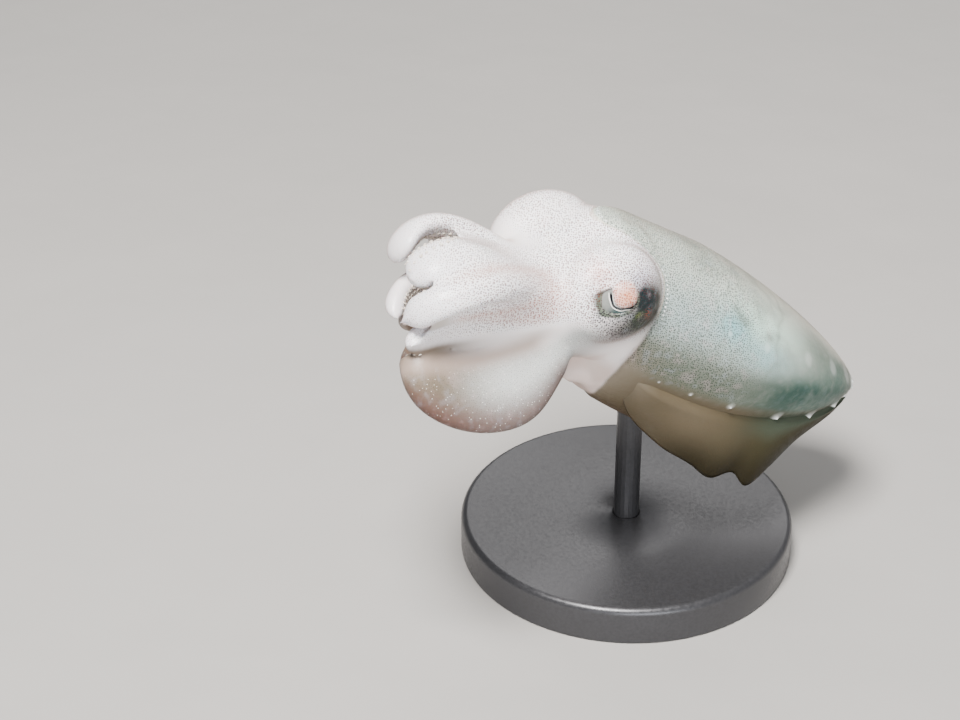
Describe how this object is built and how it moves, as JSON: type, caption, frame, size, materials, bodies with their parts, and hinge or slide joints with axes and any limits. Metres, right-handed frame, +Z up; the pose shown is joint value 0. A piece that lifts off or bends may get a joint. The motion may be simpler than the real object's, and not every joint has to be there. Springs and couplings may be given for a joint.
{
  "type": "broadclub cuttlefish model",
  "caption": "Life-size still model of a young broadclub cuttlefish with spread arms and drooping mantle, held over a round base by a plain rod.",
  "frame": {"origin": "centre of the underside of the stand's round base, on the surface it rests on", "axes": "+Z up; the animal faces -X with its left side towards -Y and its mantle trailing towards +X; +X along the longest extent"},
  "size_m": [0.0539, 0.034, 0.0444],
  "materials": {
    "skin": "semi-gloss",
    "fin_membrane": "semi-gloss",
    "eye": "gloss",
    "beak": "satin",
    "stand_metal": "satin"
  },
  "bodies": {
    "root": {"mantle": "skin", "head": "skin", "funnel": "skin", "lips": "skin", "arm_left_1": "skin", "arm_left_2": "skin", "arm_left_3": "skin", "arm_left_4": "skin", "arm_right_1": "skin", "arm_right_2": "skin", "arm_right_3": "skin", "arm_right_4": "skin", "fin_left": "fin_membrane", "fin_right": "fin_membrane", "eye_left": "eye", "eye_right": "eye", "beak": "beak", "stand_base": "stand_metal", "stand_rod": "stand_metal"}
  },
  "joints": []
}
